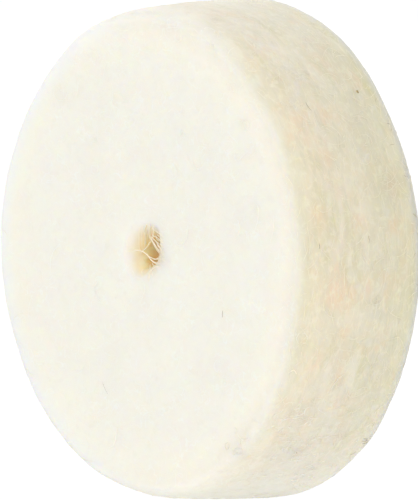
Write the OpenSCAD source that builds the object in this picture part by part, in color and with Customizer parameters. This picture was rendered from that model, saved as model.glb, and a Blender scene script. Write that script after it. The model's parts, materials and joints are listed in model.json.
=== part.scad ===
// Felt polishing wheel for a rotary tool.
// One disc, punched out of a sheet of hard pressed wool felt, with a hole for the tool's mandrel.
// It spins about Y, its front face looks towards -Y, and its centre is the origin.

/* [Disc] */
// Diameter at the widest part of the rim, beside the back edge
wheel_d = 25.4; // [18:0.1:40]
// Thickness from the front face to the back face
wheel_t = 7.5; // [5:0.1:13]
// How much smaller the rim's radius is at the front, where the punch squeezed the felt as it went in
rim_taper = 0.27; // [0:0.01:0.8]

/* [Edges] */
// How far the soft front shoulder comes in over the face
front_edge_in = 0.7; // [0.2:0.05:1.5]
// How far the soft front shoulder runs back along the rim
front_edge_back = 1.4; // [0.2:0.05:2]
// How far the crisper back edge comes in over the face
back_edge_in = 0.4; // [0.1:0.05:1.5]
// How far the crisper back edge runs forward along the rim
back_edge_forward = 0.3; // [0.1:0.05:1.5]

/* [Bore] */
// Diameter of the hole that the mandrel goes through
bore_d = 2.5; // [1.5:0.1:6]
// Radius of the soft lip where the hole opens in each face
bore_lip_r = 0.4; // [0.1:0.05:1]

/* [Hidden] */
// Steps in each rounded edge, and along the rim between them
edge_steps = 9;
rim_steps = 8;
// How far a cutter runs past the face that it opens
cut_past = 1;
$fn = 96;

front_y = -wheel_t / 2;
back_y = wheel_t / 2;
back_rim_r = wheel_d / 2;
front_rim_r = back_rim_r - rim_taper;
bore_r = bore_d / 2;

// A quarter of an ellipse about centre, of half-axes reach, from the angle a0 to the angle a1
function edge_arc(centre, reach, a0, a1) = [
    for (i = [0 : edge_steps])
        let (a = a0 + (a1 - a0) * i / edge_steps)
        [centre.x + reach.x * cos(a), centre.y + reach.y * sin(a)]
];

// The front shoulder, from the face to the rim
function front_edge() = edge_arc(
    [front_rim_r - front_edge_in, front_y + front_edge_back],
    [front_edge_in, front_edge_back], -90, 0
);

// The back edge, from the rim to the face
function back_edge() = edge_arc(
    [back_rim_r - back_edge_in, back_y - back_edge_forward],
    [back_edge_in, back_edge_forward], 0, 90
);

// The rim between its two edges: a parabola, which swells from the front shoulder and levels off at the back
function rim_line() = [
    for (i = [1 : rim_steps - 1])
        let (
            along = i / rim_steps,
            y0 = front_y + front_edge_back,
            y1 = back_y - back_edge_forward
        )
        [back_rim_r - rim_taper * pow(1 - along, 2), y0 + (y1 - y0) * along]
];

// Half of the disc's section, as radius and height along the spin axis
module disc_section() {
    polygon(concat([[0, front_y]], front_edge(), rim_line(), back_edge(), [[0, back_y]]));
}

// The solid ring that rounds one mouth of the hole, for a face at height 0 that looks up
module bore_lip_cut() {
    rotate_extrude()
        difference() {
            translate([0, -bore_lip_r])
                square([bore_r + bore_lip_r, bore_lip_r + cut_past]);
            translate([bore_r + bore_lip_r, -bore_lip_r])
                circle(r = bore_lip_r);
        }
}

// The hole, with both of its mouths
module bore_cut() {
    cylinder(d = bore_d, h = wheel_t + 2 * cut_past, center = true);
    for (side = [0, 1])
        mirror([0, 0, side])
            translate([0, 0, back_y])
                bore_lip_cut();
}

module felt_wheel() {
    color("#f4efe0")
        rotate([-90, 0, 0])
            difference() {
                rotate_extrude()
                    disc_section();
                bore_cut();
            }
}

felt_wheel();
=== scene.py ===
import json
import math
import random

import bmesh
import bpy
from mathutils import Matrix, Vector, noise
from mathutils.bvhtree import BVHTree


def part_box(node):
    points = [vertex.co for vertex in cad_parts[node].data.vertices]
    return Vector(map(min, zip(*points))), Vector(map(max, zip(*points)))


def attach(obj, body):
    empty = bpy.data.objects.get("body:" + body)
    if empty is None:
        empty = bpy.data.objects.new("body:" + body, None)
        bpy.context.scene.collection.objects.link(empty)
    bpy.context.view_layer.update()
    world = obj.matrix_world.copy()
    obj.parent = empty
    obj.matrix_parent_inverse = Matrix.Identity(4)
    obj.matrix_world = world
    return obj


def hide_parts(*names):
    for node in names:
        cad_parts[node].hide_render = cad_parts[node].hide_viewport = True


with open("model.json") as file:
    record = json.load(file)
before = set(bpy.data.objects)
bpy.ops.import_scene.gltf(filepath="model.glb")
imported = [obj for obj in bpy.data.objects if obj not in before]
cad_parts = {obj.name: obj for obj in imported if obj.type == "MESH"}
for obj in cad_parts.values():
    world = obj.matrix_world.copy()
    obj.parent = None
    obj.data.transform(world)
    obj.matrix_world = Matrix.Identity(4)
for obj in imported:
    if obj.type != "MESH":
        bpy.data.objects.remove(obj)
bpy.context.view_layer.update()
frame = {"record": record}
scene = bpy.context.scene
toMetres = 0.001

lowest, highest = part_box("felt_wheel")
frontY = lowest.y / toMetres
backY = highest.y / toMetres
backR = highest.x / toMetres
boreMount = next(m for m in frame["record"]["mounts"] if m["name"] == "mandrel_bore")
boreR = boreMount["dims"]["r_mm"]
print("frame loaded")


def linear(hexColour):
    # an sRGB hex colour as the linear values that the shaders take
    parts = [int(hexColour[i:i + 2], 16) / 255 for i in (1, 3, 5)]
    return [p / 12.92 if p <= 0.04045 else ((p + 0.055) / 1.055) ** 2.4 for p in parts] + [1]


def addNode(tree, kind, settings):
    # one node: a setting that is another node's socket is linked, and any other is set
    node = tree.nodes.new(kind)
    for name, value in settings.items():
        if isinstance(value, bpy.types.NodeSocket):
            tree.links.new(value, node.inputs[name])
        elif isinstance(name, int) or name in node.inputs.keys():
            node.inputs[name].default_value = value
        else:
            setattr(node, name, value)
    return node


def smoothStep(low, high, value):
    t = min(1, max(0, (value - low) / (high - low)))
    return t * t * (3 - 2 * t)


def bow(along):
    # 0 at both ends of a fibre and 1 over most of its middle
    return math.sqrt(max(0, math.sin(math.pi * along)))


def finishPiece(name, mesh, material):
    # a finished mesh in millimetres becomes a piece in metres, with its place in its mesh
    mesh.transform(Matrix.Scale(toMetres, 4))
    mesh.materials.clear()
    mesh.materials.append(material)
    piece = bpy.data.objects.new(name, mesh)
    scene.collection.objects.link(piece)
    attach(piece, "root")
    return piece


def newMaterial(name):
    material = bpy.data.materials.new(name)
    material.use_nodes = True
    tree = material.node_tree
    tree.nodes.clear()
    return material, tree


disc = {
    "frontEdgeIn": 0.7,         # mm that the soft front shoulder comes in over the face
    "frontEdgeBack": 1.4,       # mm that it runs back along the rim
    "backEdgeIn": 0.4,          # mm that the crisper back edge comes in over the face
    "backEdgeForward": 0.3,     # mm that it runs forward along the rim
    "rimTaper": 0.27,           # mm that the rim's radius loses at the front
    "lipIn": 0.4,               # mm that the lip at each mouth of the hole comes in over the face
    "lipDeep": 0.9,             # mm that it runs into the hole
    "edgeSteps": 10,            # in each rounded edge, and along the rim between them
    "spinSteps": 256,
    "cell": 0.145,              # mm between the points of the dense mesh
    # height and size in mm of what makes the felt uneven
    "swell": (0.045, 5.5),      # slow swells in the whole outline
    "lumps": (0.014, 1.1),      # the small lumps that pressing leaves
    "rimGrain": (0.02, 2.4, 0.42),    # ridges that run round the rim: their height, length and width
    "boreWander": (0.07, 0.75),       # how the hole's wall wanders
    "boreNap": 0.35,            # mm of loose wool that stands in from the hole's wall
    # the front mouth of the hole
    "bulge": (0.62, -30),       # mm that the felt swells into it, from this direction in degrees
    "gape": (0.25, 180),        # mm that it is worn open, in this direction
    "mouthTurn": (-0.3, 0.9),   # how squarely the wall has to face that way, for none and for all of it
    "mouthIn": 1.2,             # mm over the face at which the mouth's own shape has gone
    "mouthDepth": 2.1,          # mm down the hole at which it has gone
    # where the rim stands out or falls in: degrees round it, place along it, height and reach in mm
    "swellings": [
        (172, -2.6, 0.11, 5.0),
        (118, -2.8, 0.13, 2.2),
        (-47, 3.2, 0.12, 1.6),
        (-65, 3.0, 0.06, 2.0),
        (-98, -2.0, -0.10, 2.5),
        (30, 3.2, -0.05, 4.0),
    ],
}


def edgeArc(centreR, centreY, reachR, reachY, start, end, steps):
    angles = [math.radians(start + (end - start) * i / steps) for i in range(steps + 1)]
    return [(centreR + reachR * math.cos(a), centreY + reachY * math.sin(a)) for a in angles]


def discSection(s):
    # half of the disc's section, as radius and place along the spin axis, from one lip of the hole
    # round to the other: front lip, soft shoulder, swelling rim, crisp edge, back lip
    steps = s["edgeSteps"]
    lip, deep = s["lipIn"], s["lipDeep"]
    frontIn, frontBack = s["frontEdgeIn"], s["frontEdgeBack"]
    backIn, backForward = s["backEdgeIn"], s["backEdgeForward"]
    rimStart = frontY + frontBack
    rimEnd = backY - backForward
    section = edgeArc(boreR + lip, frontY + deep, lip, deep, 180, 270, steps)
    section += edgeArc(backR - s["rimTaper"] - frontIn, rimStart, frontIn, frontBack, -90, 0, steps)
    for i in range(1, steps):
        along = i / steps
        section.append((backR - s["rimTaper"] * (1 - along) ** 2, rimStart + (rimEnd - rimStart) * along))
    section += edgeArc(backR - backIn, rimEnd, backIn, backForward, 0, 90, steps)
    section += edgeArc(boreR + lip, backY - deep, lip, deep, 90, 180, steps)
    return section


def spinDisc(s):
    bm = bmesh.new()
    ring = [bm.verts.new((r, y, 0)) for r, y in discSection(s)]
    edges = [bm.edges.new((a, b)) for a, b in zip(ring, ring[1:] + ring[:1])]
    bmesh.ops.spin(bm, geom=ring + edges, cent=(0, 0, 0), axis=(0, 1, 0), dvec=(0, 0, 0),
                   angle=math.tau, steps=s["spinSteps"], use_merge=True, use_normal_flip=False,
                   use_duplicate=False)
    bmesh.ops.remove_doubles(bm, verts=bm.verts, dist=0.001)
    bmesh.ops.recalc_face_normals(bm, faces=bm.faces)
    mesh = bpy.data.meshes.new("disc")
    bm.to_mesh(mesh)
    bm.free()
    return mesh


def evenMesh(mesh, cell):
    # the same shape in small even cells, for the relief to move
    form = bpy.data.objects.new("form", mesh)
    scene.collection.objects.link(form)
    remesh = form.modifiers.new("cells", "REMESH")
    remesh.mode = "VOXEL"
    remesh.voxel_size = cell
    remesh.use_smooth_shade = True
    even = bpy.data.meshes.new_from_object(form.evaluated_get(bpy.context.evaluated_depsgraph_get()))
    bpy.data.objects.remove(form)
    return even


def rimSpot(angle, y):
    a = math.radians(angle)
    return Vector((backR * math.cos(a), y, backR * math.sin(a)))


def lumpy(at, octaves, smoothness=0.7):
    # noise from about -1 to 1, each octave half the size of the one before
    return noise.fractal(at, smoothness, 2.0, octaves)


def relief(s, p, rimShare, boreShare):
    # how far the felt stands out at p, in mm
    height, size = s["swell"]
    swell = lumpy(p / size, 2) * height
    for angle, y, rise, reach in s["swellings"]:
        swell += rise * math.exp(-(p - rimSpot(angle, y)).length_squared / reach ** 2)
    height, size = s["lumps"]
    lumps = lumpy(p / size + Vector((7, 0, 0)), 3, 0.6) * height
    height, length, width = s["rimGrain"]
    grain = lumpy(Vector((p.x / length, p.y / width, p.z / length)), 3) * height * rimShare
    height, size = s["boreWander"]
    wander = lumpy(p / size + Vector((0, 3, 0)), 2) * height * boreShare
    return swell * (1 - boreShare) + lumps + grain + wander + s["boreNap"] * boreShare


def mouthShift(s, p):
    # the front mouth isn't a true circle: the felt bulges into it from one side and it gapes on the other
    shift = Vector((0, 0, 0))
    r = math.hypot(p.x, p.z)
    share = 1 - smoothStep(boreR, boreR + s["mouthIn"], r)
    share *= 1 - smoothStep(0, s["mouthDepth"], p.y - frontY)
    for sign, (size, angle) in ((-1, s["bulge"]), (1, s["gape"])):
        way = Vector((math.cos(math.radians(angle)), 0, math.sin(math.radians(angle))))
        shift += way * sign * size * smoothStep(*s["mouthTurn"], p.dot(way) / max(r, 0.01))
    return shift * share


tones = {
    # mm above the axis, below it or to its left at which each part of the wheel begins and is reached
    "top": (6, 13),
    "bottom": (2, 13),
    "underneath": (9.5, 12.5),
    # where painted light whitens the left of the front shoulder, as light from behind on that side would
    "chalky": (-1, 8),
    "topLean": 0.25,             # how far the top part leans to the left
    "pale": (0.15, 0.55, 0.4),   # share of painted sheen on the rim's top and on its bottom, and of painted light from the floor underneath
    # mm past the face's edge at which the rim's own tone begins, and is all there is
    "rimStart": (-1.0, 0.98, 0.7, -0.2),   # right, how much later at the top and bottom, where painted sheen keeps the face's white, and on the left under its painted light
    "rimEnd": (0.3, 0.65),                 # right, and how much later at the top, where painted sheen keeps the face's white
    "slope": 0.35,               # mm that a mm along the rim counts for
    "rubbedIn": (-1.8, -0.4),    # mm from that edge at which the painted shade on the shoulder begins and is full
    "rubbedOut": (-0.3, 0.4),    # and at which it starts to go and has gone
    "backIn": 0.1,               # mm over the back face that the rim's tone runs past the edge
    "lip": (0.5, 0.3, 0.6),      # share of painted shade on the lip left of the hole, and mm from it where that fades out
    "tint": (0.03, 1.0, 0.95),   # mm down the hole where its painted warm shade begins and is full, and the bend between
    "tintBelow": 0.5,            # how much faster that goes on the lower side of the hole
    "turned": (0.05, 0.95),      # how far a spot turns from the faces, for none and all of the rim's grain
}


def toneShares(s, t, p):
    # how much of the rim's own tone shows at p, how much painted sheen lies over it (painted light from the
    # floor underneath), how much painted shade greys the shoulder, and how much painted light whitens the
    # shoulder on the left
    r = math.hypot(p.x, p.z)
    top = smoothStep(*t["top"], p.z - t["topLean"] * p.x)
    bottom = smoothStep(*t["bottom"], -p.z)
    underneath = smoothStep(*t["underneath"], -p.z)
    paleTop, paleBottom, paleUnderneath = t["pale"]
    pale = paleTop * top + paleBottom * bottom ** 2 + paleUnderneath * underneath
    if p.y > 0:
        return smoothStep(backR - s["backEdgeIn"] - t["backIn"], backR, r), pale, 0, 0
    along = r - (backR - s["rimTaper"]) + t["slope"] * (p.y - frontY)
    chalky = smoothStep(*t["chalky"], -p.x)
    start, laterTop, laterBottom, startPaintedLeft = t["rimStart"]
    start += laterTop * top + laterBottom * bottom
    start += (startPaintedLeft - start) * chalky
    end, laterTop = t["rimEnd"]
    end += laterTop * top
    shoulder = smoothStep(*t["rubbedIn"], along) * (1 - smoothStep(*t["rubbedOut"], along))
    rubbed = shoulder * (1 - underneath) * (1 - chalky)
    return smoothStep(start, end, along), pale, rubbed, shoulder * chalky


def holeShares(t, p):
    # how much painted shade lies on the lip of the hole at p, and how much of the hole's painted warm shade
    # its wall has
    r = math.hypot(p.x, p.z)
    rubbed, near, far = t["lip"]
    rubbed *= (1 - smoothStep(boreR + near, boreR + far, r)) * smoothStep(0, 1, -p.x)
    depth = min(p.y - frontY, backY - p.y)
    depth *= 1 + t["tintBelow"] * smoothStep(0, 1, -p.z / max(r, 0.01))
    begins, full, bend = t["tint"]
    return rubbed, smoothStep(begins, full, depth) ** bend


# shares kept on the felt's points: the rim's tone, painted sheen, painted shade, painted light on the left,
# and the hole
shareNames = ("rimShare", "paleShare", "rubbedShare", "chalkShare", "boreShare")


def makeDisc(s, t):
    mesh = evenMesh(spinDisc(s), s["cell"])
    shares = {name: [] for name in shareNames}
    moved = []
    for v in mesh.vertices:
        p = v.co.copy()
        if math.hypot(p.x, p.z) > backR / 2:
            found = (*toneShares(s, t, p), 0)
            turned = smoothStep(*t["turned"], 1 - abs(v.normal.y))
        else:
            rubbed, boreShare = holeShares(t, p)
            found = (0, 0, rubbed, 0, boreShare)
            turned = 0
        for name, value in zip(shareNames, found):
            shares[name].append(value)
        moved.append(p + v.normal * relief(s, p, turned, found[-1]) + mouthShift(s, p))
    for v, p in zip(mesh.vertices, moved):
        v.co = p
    for name, values in shares.items():
        mesh.attributes.new(name, "FLOAT", "POINT").data.foreach_set("value", values)
    mesh.update()
    return mesh


feltMesh = makeDisc(disc, tones)
feltTree = BVHTree.FromPolygons([v.co.copy() for v in feltMesh.vertices],
                                [tuple(f.vertices) for f in feltMesh.polygons])
feltSpots = [(f.center.copy(), f.normal.copy()) for f in feltMesh.polygons]
print("disc:", sum(len(f.vertices) - 2 for f in feltMesh.polygons), "triangles")


def objectPlace(tree, stretch=(1, 1, 1)):
    # Object coordinates in millimetres, so that a pattern's scale is one over its size in millimetres
    coordinates = addNode(tree, "ShaderNodeTexCoord", {})
    place = addNode(tree, "ShaderNodeMapping", {"Vector": coordinates.outputs["Object"],
                                                "Scale": [s / toMetres for s in stretch]})
    return place.outputs["Vector"]


eased = {"interpolation_type": "SMOOTHSTEP"}


def noiseShare(tree, place, size, low, high, detail=3, distortion=0.0):
    # soft patches of about size millimetres, as a share: 0 where the noise is low, 1 where it is high
    pattern = addNode(tree, "ShaderNodeTexNoise", {"Vector": place, "Scale": 1 / size, "Detail": detail,
                                                   "Roughness": 0.6, "Distortion": distortion})
    share = addNode(tree, "ShaderNodeMapRange", {**eased, "Value": pattern.outputs["Fac"],
                                                 "From Min": low, "From Max": high})
    return share.outputs["Result"]


def fibreLines(tree, place, size, width, distortion):
    # thin curving lines, where a noise crosses its middle value: the fibres of a felted mat
    pattern = addNode(tree, "ShaderNodeTexNoise", {"Vector": place, "Scale": 1 / size, "Detail": 1.0,
                                                   "Roughness": 0.5, "Distortion": distortion})
    offMiddle = addNode(tree, "ShaderNodeMath", {"operation": "SUBTRACT", 0: pattern.outputs["Fac"], 1: 0.5})
    away = addNode(tree, "ShaderNodeMath", {"operation": "ABSOLUTE", 0: offMiddle.outputs[0]})
    share = addNode(tree, "ShaderNodeMapRange", {**eased, "Value": away.outputs[0], "From Min": 0.0,
                                                 "From Max": width, "To Min": 1.0, "To Max": 0.0})
    return share.outputs["Result"]


def layColours(tree, colour, layers):
    # colours laid one over another: each layer is its share, its colour and how it blends
    for share, above, blend in layers:
        mix = addNode(tree, "ShaderNodeMix", {"data_type": "RGBA", "blend_type": blend,
                                              0: share, 6: colour, 7: above})
        colour = mix.outputs[2]
    return colour


felt = {
    "face": "#fbf4e8",
    "rim": "#ebe4d0",
    "drawnOut": (0.3, 1.0, 0.3),     # squeezes a pattern's place, so that it is drawn out along the rim
    # patches over those: colour, size in mm, the noise at which they begin and are full, its detail and
    # distortion, and whether they are drawn out
    "facePatches": [
        ("#f9f2e6", 2.6, 0.35, 0.7, 3, 0.0, False),      # slow changes
        ("#f8f1e4", 0.45, 0.5, 0.75, 3, 0.0, False),     # fine grain
    ],
    "rimPatches": [
        ("#e5ddc4", 2.4, 0.38, 0.64, 3, 0.0, False),     # deeper cream
        ("#ecdbc0", 2.0, 0.44, 0.72, 2, 0.0, False),     # peach
        ("#ded7b5", 1.3, 0.5, 0.72, 2, 0.0, True),       # olive
        ("#e8e2d2", 1.2, 0.52, 0.75, 2, 0.4, False),     # grey
        ("#e2dbc4", 0.32, 0.45, 0.75, 3, 0.0, True),     # fine streaks
        ("#eee8d1", 0.4, 0.5, 0.75, 3, 0.0, False),      # pale flecks
    ],
    # colours that come in along the rim: colour, place along the axis where each begins and is full, blend
    "rimBands": [
        ("#f3f6f1", -2.0, backY, "MULTIPLY"),            # darker towards the back: painted shade
        ("#cbccc8", backY - 0.8, backY - 0.1, "MIX"),    # painted shade on the back edge, which turns away from the light
        ("#bfc0b8", backY - 0.45, backY - 0.15, "MIX"),  # a thin line of painted shade on its very corner
    ],
    "pale": "#fbf7eb",         # painted sheen on the rim's top and bottom, and painted light from the floor under it
    "rubbed": "#f0f3f4",       # what the colour is multiplied by for painted shade on the front shoulder and the hole's left lip
    "chalk": "#f8f9f2",        # painted light that whitens the shoulder on the left instead
    # the hole's tan, deeper down it, is painted warm shade, standing in for light bounced round inside it
    "mouth": "#f1e7cd",        # where the hole begins
    "hole": "#ffebc2",
    "holePatches": [
        ("#ffdc9d", 0.5, 0.35, 0.7, 3, 0.0, False),
    ],
    # shares of the hole's tint between which the mouth's colour, and then its own, comes in
    "holeSteps": ((0.0, 0.5), (0.3, 1.0)),
    # fibre lines: colour, size of their pattern in mm, width and distortion. Wool is 0.03 mm thick, and
    # these are drawn at about 0.06 mm so that they show.
    "faceLines": ("#fdfbf4", 0.55, 0.035, 0.6),
    "rimLines": ("#f8f1de", 0.35, 0.05, 0.6),
    "paleLines": ("#fbf7eb", 0.8, 0.06, 1.0),
    "lineGroups": (1.8, 0.4, 0.65),    # size in mm of the groups that they lie in on the face, as for a patch
    "faceLinesShow": (0.15, 0.55),     # how strongly they show between those groups and in them
    "rimLinesShow": 0.25,
    "nap": 0.12,                       # mm across the little tangles of its nap, a few fibres wide
    "napHeight": 0.03,                 # mm, the thickness of a fibre
    "lineRise": 0.5,                   # how much the lines on the rim stand out, as a share of that
    "lightDepth": 1.1,                 # mm that light goes into it,
    "lightSpread": (1.8, 1.5, 0.9),    # which is more for red than for blue
    "sheen": "#fffaf0",
}


def patchLayers(tree, places, patches):
    # the layers of a list of patches; places are the plain place and the drawn-out one
    return [(noiseShare(tree, places[drawnOut], *pattern), linear(colour), "MIX")
            for colour, *pattern, drawnOut in patches]


def pressedWoolFelt(s):
    # pressed wool felt: matt and faintly fuzzy, milk-white on the faces, deeper cream where the cut rim shows
    # the imported wool end on, tan in the hole as painted warm shade; the fibres show as hair lines a shade
    # lighter than the rest
    material, tree = newMaterial("pressed wool felt")
    place = objectPlace(tree)
    places = (place, objectPlace(tree, s["drawnOut"]))
    rimShare, paleShare, rubbedShare, chalkShare, boreShare = (
        addNode(tree, "ShaderNodeAttribute", {"attribute_name": name}).outputs["Fac"] for name in shareNames)
    along = addNode(tree, "ShaderNodeSeparateXYZ", {"Vector": place}).outputs["Y"]

    faceLine, rimLine, paleLine = (linear(s[name][0]) for name in ("faceLines", "rimLines", "paleLines"))
    faceFibres = fibreLines(tree, place, *s["faceLines"][1:])
    rimFibres = fibreLines(tree, places[1], *s["rimLines"][1:])
    paleFibres = fibreLines(tree, place, *s["paleLines"][1:])
    between, among = s["faceLinesShow"]
    grouped = addNode(tree, "ShaderNodeMapRange", {
        **eased, "Value": noiseShare(tree, place, *s["lineGroups"]), "To Min": between, "To Max": among,
    }).outputs["Result"]
    strengths = ((faceFibres, grouped), (rimFibres, s["rimLinesShow"]), (paleFibres, paleShare))
    faceShown, rimShown, paleShown = (
        addNode(tree, "ShaderNodeMath", {"operation": "MULTIPLY", 0: lines, 1: strength}).outputs[0]
        for lines, strength in strengths)

    faceLayers = patchLayers(tree, places, s["facePatches"])
    faceLayers.append((faceShown, faceLine, "MIX"))
    rimLayers = patchLayers(tree, places, s["rimPatches"])
    for colour, begins, full, blend in s["rimBands"]:
        band = addNode(tree, "ShaderNodeMapRange", {
            **eased, "Value": along, "From Min": begins, "From Max": full,
        }).outputs["Result"]
        rimLayers.append((band, linear(colour), blend))
    # painted sheen on the rim's top and bottom and painted light under it, then the pale fibre lines shown
    # only there
    rimLayers.append((paleShare, linear(s["pale"]), "MIX"))
    rimLayers.append((rimShown, rimLine, "MIX"))
    rimLayers.append((paleShown, paleLine, "MIX"))
    mouthShare, holeShare = (
        addNode(tree, "ShaderNodeMapRange", {
            **eased, "Value": boreShare, "From Min": begins, "From Max": full,
        }).outputs["Result"] for begins, full in s["holeSteps"])
    hole = layColours(tree, linear(s["hole"]), patchLayers(tree, places, s["holePatches"]))
    # over face and rim go the painted shade on the shoulder and the hole's left lip, the painted light on the
    # shoulder's left, and the hole's painted warm shade
    skin = layColours(tree, layColours(tree, linear(s["face"]), faceLayers), [
        (rimShare, layColours(tree, linear(s["rim"]), rimLayers), "MIX"),
        (rubbedShare, linear(s["rubbed"]), "MULTIPLY"),
        (chalkShare, linear(s["chalk"]), "MIX"),
        (mouthShare, linear(s["mouth"]), "MIX"),
        (holeShare, hole, "MIX"),
    ])

    nap = addNode(tree, "ShaderNodeTexNoise", {"Vector": place, "Scale": 1 / s["nap"], "Detail": 4.0,
                                               "Roughness": 0.7})
    height = addNode(tree, "ShaderNodeMath", {"operation": "MULTIPLY_ADD", 0: rimFibres,
                                              1: s["lineRise"], 2: nap.outputs["Fac"]})
    bump = addNode(tree, "ShaderNodeBump", {"Height": height.outputs[0], "Strength": 0.4,
                                            "Distance": s["napHeight"] * toMetres})
    shader = addNode(tree, "ShaderNodeBsdfPrincipled", {
        "Base Color": skin, "Normal": bump.outputs["Normal"],
        "Roughness": 0.92, "IOR": 1.5, "Specular IOR Level": 0.25,
        "Subsurface Weight": 1.0, "Subsurface Radius": s["lightSpread"],
        "Subsurface Scale": s["lightDepth"] * toMetres,
        "Sheen Weight": 0.6, "Sheen Roughness": 0.4, "Sheen Tint": linear(s["sheen"]),
    })
    addNode(tree, "ShaderNodeOutputMaterial", {"Surface": shader.outputs["BSDF"]})
    return material


wool = {
    "stretches": (0.8, 0.35, 0.7, 2),  # mm between changes of cream along a fibre, then as for a patch
    # the scales of wool are 0.01 mm long, too fine to show: they are drawn five times as long
    "scales": 0.05,
    "scaleHeight": 0.005,
}


def looseWool(s, name, pale, deep, roughness=0.6):
    # single wool fibres: a little glossier than the felt, each stretch a slightly different cream
    material, tree = newMaterial(name)
    place = objectPlace(tree)
    stretches = noiseShare(tree, place, *s["stretches"])
    scales = addNode(tree, "ShaderNodeTexNoise", {"Vector": place, "Scale": 1 / s["scales"], "Detail": 2.0})
    bump = addNode(tree, "ShaderNodeBump", {"Height": scales.outputs["Fac"], "Strength": 0.3,
                                            "Distance": s["scaleHeight"] * toMetres})
    shader = addNode(tree, "ShaderNodeBsdfPrincipled", {
        "Base Color": layColours(tree, linear(pale), [(stretches, linear(deep), "MIX")]),
        "Normal": bump.outputs["Normal"],
        "Roughness": roughness, "IOR": 1.55, "Specular IOR Level": 0.3,
    })
    addNode(tree, "ShaderNodeOutputMaterial", {"Surface": shader.outputs["BSDF"]})
    return material


feltMaterial = pressedWoolFelt(felt)
faceWool = looseWool(wool, "loose face wool", "#fffdf6", "#fbf8ee")
rimWool = looseWool(wool, "loose rim wool", "#faf5e4", "#f0e8d0")
whiteWool = looseWool(wool, "long white wool", "#fffdf8", "#fdfaf0")
greyWool = looseWool(wool, "greyish curls of wool", "#f1eee3", "#e6e2d5")
bundleWool = looseWool(wool, "bundled wool", "#fbf5e8", "#f6efdf", 0.85)    # duller, as it is matted
strandWool = looseWool(wool, "wool strands in the hole", "#fff6e4", "#fbecd0")
shadedWool = looseWool(wool, "shaded wool in the hole", "#ecdfc0", "#e0cfa6")
darkHair = looseWool(wool, "dark kemp hair", "#a2967f", "#b9ae99")          # the coarse hair of a fleece
seedHusk = looseWool(wool, "brown seed husk", "#b8a47c", "#a8946c")
print("materials made")

feltDisc = finishPiece("felt_disc", feltMesh, feltMaterial)
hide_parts("felt_wheel")


def tubes(name, paths, material):
    # each path is a list of (point, radius) in mm: all of them become closed tubes in one mesh
    curve = bpy.data.curves.new(name, "CURVE")
    curve.dimensions = "3D"
    curve.bevel_depth = 1.0
    curve.bevel_resolution = 0
    curve.use_fill_caps = True
    for path in paths:
        spline = curve.splines.new("POLY")
        spline.points.add(len(path) - 1)
        for knot, (point, radius) in zip(spline.points, path):
            knot.co = (*point, 1)
            knot.radius = radius
    holder = bpy.data.objects.new(name, curve)
    scene.collection.objects.link(holder)
    mesh = bpy.data.meshes.new_from_object(holder.evaluated_get(bpy.context.evaluated_depsgraph_get()))
    bpy.data.objects.remove(holder)
    mesh.shade_smooth()
    print(name + ":", sum(len(f.vertices) - 2 for f in mesh.polygons), "triangles")
    return finishPiece(name, mesh, material)


def crawl(s, start, heading, rng):
    # a fibre that creeps over the felt from start, curling as it goes, with its ends in the felt
    length = rng.uniform(*s["length"])
    thick = rng.uniform(*s["thick"]) / 2
    lift = rng.uniform(*s["lift"]) * thick
    joints = max(4, round(length / s["step"]))
    point, way = start.copy(), heading.normalized()
    turn = rng.gauss(0, s["curl"])
    path = []
    for i in range(joints + 1):
        near, normal, _, _ = feltTree.find_nearest(point)
        share = bow(i / joints)
        path.append((near + normal * (lift * share - s["bury"] * (1 - share)), thick * (0.5 + 0.5 * share)))
        turn += rng.gauss(0, s["curl"] * 0.5)
        way = Matrix.Rotation(turn * s["step"], 3, normal) @ way
        way = (way - normal * way.dot(normal)).normalized()
        point = near + way * length / joints
    return path


def layFibres(name, material, s, seed, wanted):
    rng = random.Random(seed)
    spots = [spot for spot in feltSpots if wanted(*spot)]
    paths = []
    for _ in range(s["count"]):
        start, normal = rng.choice(spots)
        around = Vector((0, 1, 0)).cross(start).normalized()
        heading = Vector((rng.gauss(0, 1), rng.gauss(0, 1), rng.gauss(0, 1))).normalized()
        heading += around * s["grain"] * rng.choice((-1, 1))
        paths.append(crawl(s, start, heading - normal * heading.dot(normal), rng))
    return tubes(name, paths, material)


faceTurn = 0.7      # how squarely a spot looks along the axis where it counts as a face
fuzzClear = 0.2     # mm round the hole without fuzz
longClear = 0.3     # mm round it without long wool


def onFront(p, normal):
    return normal.y < -faceTurn and math.hypot(p.x, p.z) > boreR + fuzzClear


def onBack(p, normal):
    return normal.y > faceTurn and math.hypot(p.x, p.z) > boreR + fuzzClear


def onRim(p, normal):
    return abs(normal.y) <= faceTurn and math.hypot(p.x, p.z) > backR / 2


def onFaces(p, normal):
    return abs(normal.y) > faceTurn and math.hypot(p.x, p.z) > boreR + longClear


faceFuzz = {
    "count": 600,
    "length": (0.6, 3.0),      # mm
    "thick": (0.018, 0.028),   # mm
    "lift": (-0.95, -0.5),     # how high its middle line lies over the felt, in radii
    "step": 0.22,              # mm between its joints
    "grain": 0.0,              # how strongly they run round the axis
    "curl": 1.2,               # radians a mm
    "bury": 0.03,              # mm that the ends go into the felt
}
rimFuzz = {
    "count": 2000,
    "length": (0.5, 2.4),
    "thick": (0.016, 0.028),
    "lift": (-0.9, 0.2),
    "step": 0.28,
    "grain": 1.8,
    "curl": 0.8,
    "bury": 0.03,
}
longWool = {
    "count": 150,
    "length": (1.2, 4.0),
    "thick": (0.02, 0.03),
    "lift": (-0.8, 0.2),
    "step": 0.3,
    "grain": 0.4,
    "curl": 1.8,
    "bury": 0.03,
}
layFibres("front_fuzz", faceWool, faceFuzz, 11, onFront)
layFibres("back_fuzz", faceWool, faceFuzz, 12, onBack)
layFibres("rim_fuzz", rimWool, rimFuzz, 13, onRim)
layFibres("long_wool", whiteWool, longWool, 14, onFaces)
print("fuzz laid")


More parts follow.
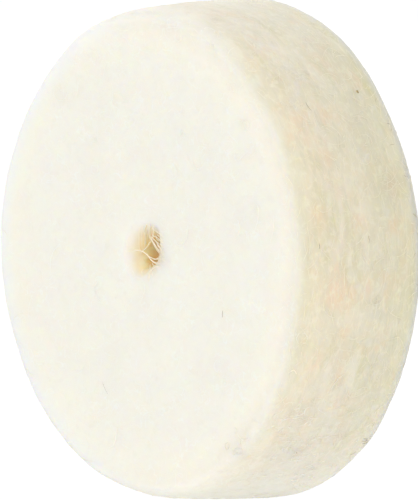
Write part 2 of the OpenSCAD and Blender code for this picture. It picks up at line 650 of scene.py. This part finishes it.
def smoothLine(knots, perSpan=4):
    # a Catmull-Rom curve through the knots
    ends = [knots[0] * 2 - knots[1]] + knots + [knots[-1] * 2 - knots[-2]]
    line = []
    for a, b, c, d in zip(ends, ends[1:], ends[2:], ends[3:]):
        for i in range(perSpan):
            t = i / perSpan
            line.append(0.5 * (2 * b + (c - a) * t + (2 * a - 5 * b + 4 * c - d) * t ** 2
                               + (3 * b - a - 3 * c + d) * t ** 3))
    return line + [knots[-1]]


strands = {
    "bury": 0.05,                   # mm that the ends go into the felt
    "endShare": 0.2,                # share of a strand over which each end goes down
    # from and to what thickness, and what depth in the mouth, in mm
    "back": ((0.035, 0.07), (0, 0.1)),
    "combed": ((0.026, 0.04), (-0.02, 0.03)),
    "fringed": ((0.024, 0.036), (-0.02, 0.08)),
    "backCount": 8,
    "frontFringe": (8, -70, 30),    # number, and the middle and spread of their directions in degrees
    "backFringe": (40, 90, 90),
    "front": [        # thickness and depth, then the places across and up from the axis
        (0.07, 0.00, (-1.52, 0.05), (-1.12, 0.12), (-0.72, 0.15), (-0.39, 0.12), (-0.07, 0.02), (0.17, -0.12),
         (0.33, -0.26), (0.57, -0.38), (0.81, -0.42), (1.1, -0.4), (1.4, -0.45)),
        (0.045, 0.03, (0.41, 0.78), (0.21, 0.59), (0.05, 0.41), (-0.15, 0.25), (-0.39, 0.12), (-0.6, -0.05)),
        (0.045, 0.02, (0.17, 1.68), (0.17, 1.28), (0.19, 0.92), (0.37, 0.73), (0.5, 0.5)),
        (0.03, 0.08, (-0.15, 1.62), (-0.15, 1.11), (-0.19, 0.8), (-0.23, 0.5), (-0.27, 0.19)),
        (0.035, 0.04, (0.49, 1.65), (0.49, 1.19), (0.48, 0.94), (0.41, 0.73), (0.3, 0.6)),
        (0.06, 0.00, (0.3, 1.0), (0.37, 0.81), (0.61, 0.56), (0.81, 0.37), (1.01, 0.2), (1.35, 0.07)),
        (0.05, 0.03, (0.35, 0.95), (0.45, 0.82), (0.73, 0.67), (0.93, 0.48), (1.14, 0.31), (1.46, 0.18)),
        (0.045, 0.05, (0.3, 0.85), (0.37, 0.7), (0.57, 0.44), (0.77, 0.24), (0.97, 0.1), (1.3, 0.0)),
        (0.045, 0.00, (0.4, 1.0), (0.53, 0.94), (0.85, 0.88), (1.05, 0.76), (1.35, 0.6)),
        (0.035, 0.02, (0.4, 1.4), (0.57, 1.25), (0.89, 1.11), (1.3, 0.95)),
        (0.045, 0.02, (-0.05, 0.0), (0.17, -0.12), (0.41, -0.18), (0.65, -0.24), (0.89, -0.18), (1.3, -0.12)),
        (0.035, 0.04, (0.15, -0.1), (0.33, -0.26), (0.61, -0.38), (0.81, -0.39), (1.14, -0.3), (1.4, -0.3)),
        (0.045, 0.00, (0.0, -1.45), (0.17, -0.96), (0.45, -0.76), (0.65, -0.65), (0.97, -0.56), (1.3, -0.6)),
        (0.03, 0.04, (0.35, -0.4), (0.45, -0.51), (0.65, -0.55), (0.97, -0.46), (1.3, -0.4)),
        (0.03, 0.05, (-0.7, 1.3), (-0.68, 0.88), (-0.68, 0.52), (-0.64, 0.0)),
        (0.03, 0.08, (-0.5, 1.4), (-0.48, 0.89), (-0.48, 0.53), (-0.46, 0.1)),
    ],
    "shaded": [       # the same, for strands that lie in shade under the others
        (0.07, 0.00, (-0.05, 1.45), (-0.08, 1.15), (-0.07, 0.85), (-0.1, 0.5)),
        (0.07, 0.00, (0.33, 1.4), (0.31, 1.15), (0.32, 0.9), (0.27, 0.65)),
        (0.06, 0.00, (0.72, 0.95), (0.85, 0.8), (1.02, 0.68)),
    ],
    "comb": [0.98, 0.84, 0.66, 0.5, 0.36, 0.2, 0.06, -0.08, -0.22, -0.34],   # heights of the combed ends
}


def mouthPath(s, thick, depth, places, side):
    # a strand laid over one mouth of the hole: on the felt where there is felt, and across the gap elsewhere
    faceY = frontY if side < 0 else backY
    line = smoothLine([Vector((x, z)) for x, z in places])
    path = []
    for i, spot in enumerate(line):
        # the felt is looked for from 1 mm outside the face to 0.2 mm inside it
        hit, _, _, _ = feltTree.ray_cast(Vector((spot.x, faceY + side, spot.y)), Vector((0, -side, 0)), 1.2)
        across = faceY - side * depth
        y = across if hit is None or (hit.y - across) * side < 0 else hit.y
        atEnd = 1 - smoothStep(0, s["endShare"], min(i, len(line) - 1 - i) / (len(line) - 1))
        path.append((Vector((spot.x, y - side * s["bury"] * atEnd, spot.y)), thick / 2 * (1 - 0.5 * atEnd)))
    return path


def backStrands(s, rng):
    # the other mouth gets strands of the same kind, each from one side of it to another
    thick, depth = s["back"]
    found = []
    for _ in range(s["backCount"]):
        a = rng.uniform(0, math.tau)
        b = a + rng.uniform(1.2, 3.4)
        ends = [Vector((math.cos(t), math.sin(t))) * (boreR + rng.uniform(0.2, 0.6)) for t in (a, b)]
        sway = Vector((rng.gauss(0, 0.2), rng.gauss(0, 0.2)))
        places = [ends[0].lerp(ends[1], t) + sway * math.sin(math.pi * t) + Vector((rng.gauss(0, 0.05), 0))
                  for t in (0, 0.2, 0.4, 0.6, 0.8, 1)]
        found.append(mouthPath(s, rng.uniform(*thick), rng.uniform(*depth), places, 1))
    return found


def comb(s, rng):
    # ends of wool that lie side by side over the right of the front mouth, sloping down out of it
    thick, depth = s["combed"]
    found = []
    for z in s["comb"]:
        inner = Vector((rng.uniform(0.72, 0.95), z + rng.uniform(0.15, 0.25)))
        outer = Vector((rng.uniform(1.3, 1.65), z - rng.uniform(0.1, 0.2)))
        places = [inner, inner.lerp(outer, 0.5) + Vector((0, rng.gauss(0, 0.03))), outer]
        found.append(mouthPath(s, rng.uniform(*thick), rng.uniform(*depth), places, -1))
    return found


def fringe(s, rng, side, count, middle, spread):
    # short ends of wool that stick out into one mouth from its edge, thickest round the middle angle
    thick, depth = s["fringed"]
    found = []
    for _ in range(count):
        a = math.radians(rng.gauss(middle, spread))
        b = a + rng.gauss(0, 0.2)
        start = Vector((math.cos(a), math.sin(a))) * (boreR + rng.uniform(-0.1, 0.35))
        end = Vector((math.cos(b), math.sin(b))) * (boreR - rng.uniform(0.3, 0.8))
        places = [start, start.lerp(end, 0.5) + Vector((rng.gauss(0, 0.04), rng.gauss(0, 0.04))), end]
        found.append(mouthPath(s, rng.uniform(*thick), rng.uniform(*depth), places, side))
    return found


rng = random.Random(21)
front, shaded = (
    [mouthPath(strands, thick, depth, places, -1) for thick, depth, *places in strands[name]]
    for name in ("front", "shaded"))
front += comb(strands, rng) + fringe(strands, rng, -1, *strands["frontFringe"])
tubes("front_strands", front, strandWool)
tubes("shaded_strands", shaded, shadedWool)
back = backStrands(strands, rng) + fringe(strands, rng, 1, *strands["backFringe"])
tubes("back_strands", back, strandWool)
print("strands laid")


def faceSpot(x, z):
    return Vector((x, frontY, z))


def layAlong(knots, thick, lift, bury=0.03):
    # a hair laid on the felt through the knots
    line = smoothLine(knots)
    path = []
    for i, spot in enumerate(line):
        near, normal, _, _ = feltTree.find_nearest(spot)
        share = bow(i / (len(line) - 1))
        path.append((near + normal * (lift * share - bury * (1 - share)), thick / 2 * (0.5 + 0.5 * share)))
    return path


strays = {
    # single hairs: thickness and height of the middle over the felt in mm, then the places
    "dark": [
        (0.025, 0.0, rimSpot(40.5, -1.30), rimSpot(38.5, -1.32), rimSpot(36.5, -1.15)),
        (0.022, 0.0, rimSpot(7, 0.32), rimSpot(5.5, 0.36), rimSpot(4, 0.34)),
        (0.03, 0.0, rimSpot(5.4, -2.75), rimSpot(4.6, -2.68), rimSpot(3.6, -2.7)),
        (0.03, 0.0, faceSpot(6.03, -2.42), faceSpot(6.06, -2.7), faceSpot(6.03, -2.95)),
        (0.012, 0.0, faceSpot(-3.8, -6.3), faceSpot(-3.4, -7.0), faceSpot(-2.8, -7.6)),
        (0.03, 0.01, rimSpot(-50, -0.62), rimSpot(-50.8, -0.5)),
        (0.022, 0.03, rimSpot(-45.2, 2.9), rimSpot(-45.6, 3.25), rimSpot(-46.3, 3.2), rimSpot(-46.2, 2.95)),
        (0.022, 0.03, rimSpot(-47.2, 3.1), rimSpot(-46.9, 3.35), rimSpot(-46.1, 3.4)),
        (0.03, 0.01, rimSpot(152, 1.1), rimSpot(155, 1.3), rimSpot(157, 1.2)),
        (0.03, 0.01, rimSpot(238, -0.6), rimSpot(240, -0.3), rimSpot(241, 0.4)),
    ],
    "pale": [
        (0.055, -0.01, faceSpot(10.9, -5.5), rimSpot(-25.2, -3.55), rimSpot(-25.4, -3.3),
         rimSpot(-26.8, -3.05)),
        (0.03, -0.01, faceSpot(10.3, -4.9), faceSpot(10.8, -5.0), rimSpot(-25, -3.5)),
    ],
    "speck": (rimSpot(41.5, 2.2), 0.075),    # place, and size in mm
}
dark, pale = (
    [layAlong(places, thick, lift) for thick, lift, *places in strays[name]] for name in ("dark", "pale"))
tubes("dark_hairs", dark, darkHair)

edgeHairs = {       # dark hairs that the punch left standing along the back edge
    "zone": (2.9, 0.3),        # mm along the axis from which they lie, and mm in from the rim to which
    "count": 34,
    "length": (0.25, 0.6),
    "thick": (0.014, 0.022),
    "lift": (0.0, 1.0),
    "step": 0.08,
    "grain": 0.0,
    "curl": 3.0,
    "bury": 0.02,
}


def onBackEdge(p, normal):
    start, inwards = edgeHairs["zone"]
    return p.y > start and math.hypot(p.x, p.z) > backR - inwards


layFibres("edge_hairs", darkHair, edgeHairs, 15, onBackEdge)
tubes("crossing_wool", pale, strandWool)


def makeSpeck(spot, size):
    # a crumb of seed husk, caught in the wool
    near, normal, _, _ = feltTree.find_nearest(spot)
    bm = bmesh.new()
    bmesh.ops.create_icosphere(bm, subdivisions=2, radius=size)
    bmesh.ops.scale(bm, verts=bm.verts, vec=(0.8, 1.4, 0.6))
    turn = normal.to_track_quat("Z", "Y").to_matrix()
    bmesh.ops.rotate(bm, verts=bm.verts, cent=(0, 0, 0), matrix=turn)
    bmesh.ops.translate(bm, verts=bm.verts, vec=near)
    mesh = bpy.data.meshes.new("speck")
    bm.to_mesh(mesh)
    bm.free()
    mesh.shade_smooth()
    return finishPiece("seed_speck", mesh, seedHusk)


makeSpeck(*strays["speck"])

# curls of wool: "where" gives the middle of each group, its reach in mm and its number of fibres
loops = {            # greyish loops that stand on the lower front shoulder
    "where": [(faceSpot(6.8, -9.3), 0.7, 6)],
    "length": (0.9, 1.8),
    "thick": (0.024, 0.032),
    "lift": (0.6, 1.6),
    "step": 0.1,
    "curl": 5.0,
    "bury": 0.04,
}
tufts = {            # thin curls on the rim
    "where": [
        (rimSpot(-38, -1.9), 1.5, 30),
        (rimSpot(-50, -0.8), 1.7, 34),
        (rimSpot(-60, 1.5), 1.7, 20),
        (rimSpot(-46.5, 3.1), 0.5, 5),
        (rimSpot(150, 0.5), 1.3, 16),
        (rimSpot(252, -1), 1.2, 14),
    ],
    "length": (0.5, 1.8),
    "thick": (0.018, 0.028),
    "lift": (-0.5, 1.2),
    "step": 0.14,
    "curl": 3.6,
    "bury": 0.03,
}
bundles = {          # thicker curls that the punch dragged over the lower rim
    "where": [
        (rimSpot(-38, -2.2), 1.4, 9),
        (rimSpot(-52, -0.5), 2.4, 12),
        (rimSpot(205, 0), 2.4, 12),
    ],
    "length": (0.5, 1.5),
    "thick": (0.05, 0.09),
    "lift": (-0.95, -0.75),
    "step": 0.12,
    "curl": 3.0,
    "bury": 0.05,
}


def layTufts(name, s, seed, material):
    rng = random.Random(seed)
    paths = []
    for middle, reach, count in s["where"]:
        near, normal, _, _ = feltTree.find_nearest(middle)
        for _ in range(count):
            away = Vector((rng.gauss(0, 1), rng.gauss(0, 1), rng.gauss(0, 1))) * reach / 2
            heading = Vector((rng.gauss(0, 1), rng.gauss(0, 1), rng.gauss(0, 1)))
            start = near + away - normal * away.dot(normal)
            paths.append(crawl(s, start, heading - normal * heading.dot(normal), rng))
    return tubes(name, paths, material)


layTufts("curly_tufts", tufts, 31, whiteWool)
layTufts("curly_loops", loops, 32, greyWool)
layTufts("wool_bundles", bundles, 33, bundleWool)
print("strays laid")


light = {
    "ambient": 0.46,                         # how bright the even light of a white tent leaves white
    "key": (0.099, (-0.45, -0.8, 0.3), 0.4),  # share of white, direction it comes from, size in m
    "fill": (0.47, (0.80, -0.58, 0.25), 0.4),
    "top": (0.33, (-0.3, 0.0, 1.0), 0.5),
    "rear": (0.26, (-0.8, 0.6, 0.15), 0.4),
    "distance": 0.55,                        # m from the wheel to each lamp
    "floorReach": 3,                         # m from the wheel to the floor's edges
    "card": "#bcbcbc",
    "glow": 0.44,                            # share of white that the lit tent's floor sends up by itself
    "shadowKept": 0.2,                       # share of the floor's real shading that shows
    "whiten": 1.09,                          # brings what shows of the floor up to white
}
shot = {
    "azimuth": 51,        # degrees round from the front face
    "elevation": 3.8,
    "distance": 500,      # mm
    "height": 25.33,      # mm that fill the frame's height at the wheel
    "aimRight": 0.233,    # mm that the frame's middle lies to the right of the wheel's, as seen
    "aimUp": 0.046,
}


def makeWorld(s):
    world = bpy.data.worlds.new("white tent")
    scene.world = world
    world.use_nodes = True
    tree = world.node_tree
    tree.nodes.clear()
    # white to the camera and in what is glossy or clear, dimmer as a light
    path = addNode(tree, "ShaderNodeLightPath", {})
    seen = path.outputs["Is Camera Ray"]
    for ray in ("Is Glossy Ray", "Is Transmission Ray"):
        seen = addNode(tree, "ShaderNodeMath", {"operation": "ADD", "use_clamp": True,
                                                0: seen, 1: path.outputs[ray]}).outputs[0]
    dim, white = (
        addNode(tree, "ShaderNodeBackground", {"Color": (1, 1, 1, 1), "Strength": strength}).outputs[0]
        for strength in (s["ambient"], 1.0))
    mix = addNode(tree, "ShaderNodeMixShader", {0: seen, 1: dim, 2: white})
    addNode(tree, "ShaderNodeOutputWorld", {"Surface": mix.outputs[0]})


def makeFloor(s):
    # a white card that the camera sees as white, but for a share of its real shading, shadow and all
    material, tree = newMaterial("white card")
    path = addNode(tree, "ShaderNodeLightPath", {})
    share = addNode(tree, "ShaderNodeMath", {"operation": "MULTIPLY", 0: path.outputs["Is Camera Ray"],
                                             1: 1 - s["shadowKept"]})
    card = addNode(tree, "ShaderNodeBsdfDiffuse", {"Color": linear(s["card"])})
    glow, white = (
        addNode(tree, "ShaderNodeEmission", {"Color": (1, 1, 1, 1), "Strength": strength}).outputs[0]
        for strength in (s["glow"], s["whiten"]))
    lit = addNode(tree, "ShaderNodeAddShader", {0: card.outputs[0], 1: glow})
    mix = addNode(tree, "ShaderNodeMixShader", {0: share.outputs[0], 1: lit.outputs[0], 2: white})
    addNode(tree, "ShaderNodeOutputMaterial", {"Surface": mix.outputs[0]})
    bm = bmesh.new()
    bmesh.ops.create_grid(bm, x_segments=1, y_segments=1, size=s["floorReach"])
    bmesh.ops.translate(bm, verts=bm.verts, vec=(0, 0, lowest.z))
    mesh = bpy.data.meshes.new("floor")
    bm.to_mesh(mesh)
    bm.free()
    mesh.materials.append(material)
    floor = bpy.data.objects.new("floor", mesh)
    scene.collection.objects.link(floor)


def makeLamp(name, share, direction, size, distance):
    # the power at which a white surface that faces the lamp gets this share of white
    lamp = bpy.data.lights.new(name, "AREA")
    lamp.shape = "DISK"
    lamp.size = size
    lamp.energy = share * math.pi ** 2 * distance ** 2
    holder = bpy.data.objects.new(name, lamp)
    place = Vector(direction).normalized()
    holder.location = place * distance
    holder.rotation_euler = place.to_track_quat("Z", "Y").to_euler()
    scene.collection.objects.link(holder)


def makeCamera(s):
    a, e = math.radians(s["azimuth"]), math.radians(s["elevation"])
    back = Vector((math.sin(a) * math.cos(e), -math.cos(a) * math.cos(e), math.sin(e)))
    right = Vector((math.cos(a), math.sin(a), 0))
    up = back.cross(right)
    lens = bpy.data.cameras.new("camera")
    lens.sensor_width = 36
    lens.lens = lens.sensor_width * s["distance"] / s["height"]
    lens.clip_start = 0.01
    lens.clip_end = 10
    camera = bpy.data.objects.new("camera", lens)
    aim = (right * s["aimRight"] + up * s["aimUp"]) * toMetres
    camera.location = aim + back * s["distance"] * toMetres
    camera.rotation_euler = back.to_track_quat("Z", "Y").to_euler()
    scene.collection.objects.link(camera)
    scene.camera = camera


makeWorld(light)
makeFloor(light)
for lamp in ("key", "fill", "top", "rear"):
    makeLamp(lamp, *light[lamp], light["distance"])
makeCamera(shot)
scene.view_settings.view_transform = "Standard"
print("stage set")
